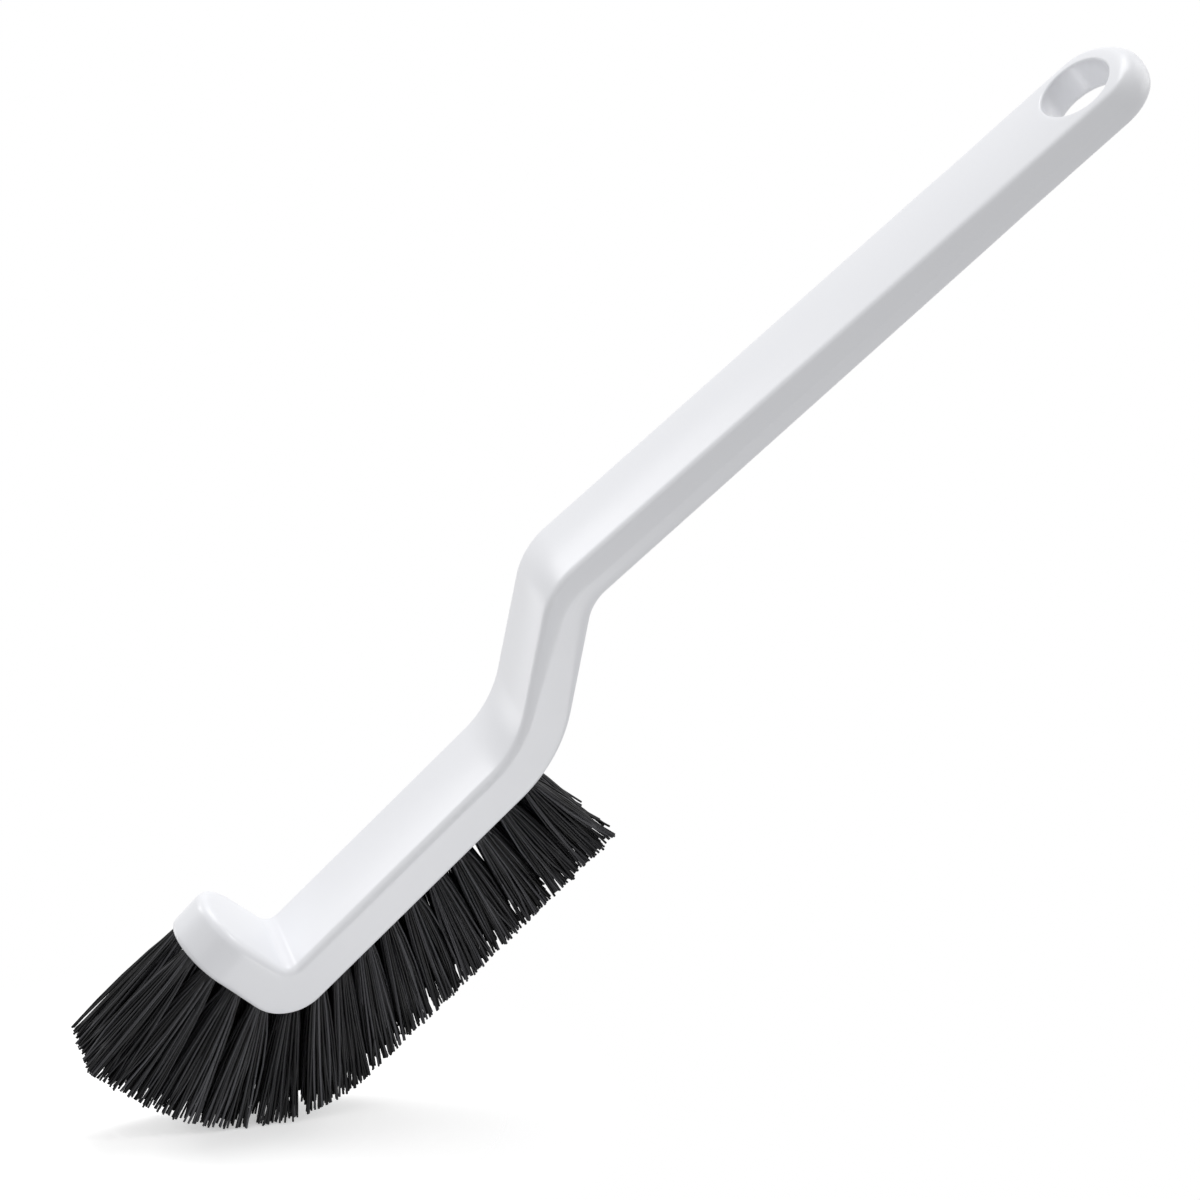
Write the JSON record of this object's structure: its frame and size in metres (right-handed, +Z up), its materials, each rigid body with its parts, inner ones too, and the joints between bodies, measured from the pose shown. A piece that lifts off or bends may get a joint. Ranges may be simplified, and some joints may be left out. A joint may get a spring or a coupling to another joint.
{
  "type": "crevice brush",
  "caption": "Narrow crevice brush: flat cranked plastic handle with a hanging hole, and a head with a turned-up nose set with rows of stiff bristle tufts that fan from tail to nose.",
  "frame": {"origin": "under the middle of the brush, on the plane that the lower bristle tips are trimmed to", "axes": "+X from the nose to the hanging hole, +Y across the handle, +Z up from the bristle tips to the handle"},
  "size_m": [0.2988, 0.0216, 0.0576],
  "materials": {
    "plastic": "satin moulded",
    "bristle": "extruded filament",
    "anchor_wire": "flat drawn wire"
  },
  "bodies": {
    "root": {"handle_block": "plastic", "tuft_near_01": "bristle", "tuft_near_02": "bristle", "tuft_near_03": "bristle", "tuft_near_04": "bristle", "tuft_near_05": "bristle", "tuft_near_06": "bristle", "tuft_near_07": "bristle", "tuft_near_08": "bristle", "tuft_near_09": "bristle", "tuft_near_10": "bristle", "tuft_near_11": "bristle", "tuft_near_12": "bristle", "tuft_near_13": "bristle", "tuft_near_14": "bristle", "tuft_near_15": "bristle", "tuft_far_01": "bristle", "tuft_far_02": "bristle", "tuft_far_03": "bristle", "tuft_far_04": "bristle", "tuft_far_05": "bristle", "tuft_far_06": "bristle", "tuft_far_07": "bristle", "tuft_far_08": "bristle", "tuft_far_09": "bristle", "tuft_far_10": "bristle", "tuft_far_11": "bristle", "tuft_far_12": "bristle", "tuft_far_13": "bristle", "tuft_far_14": "bristle", "tuft_far_15": "bristle", "tuft_anchors": "anchor_wire"}
  },
  "joints": []
}
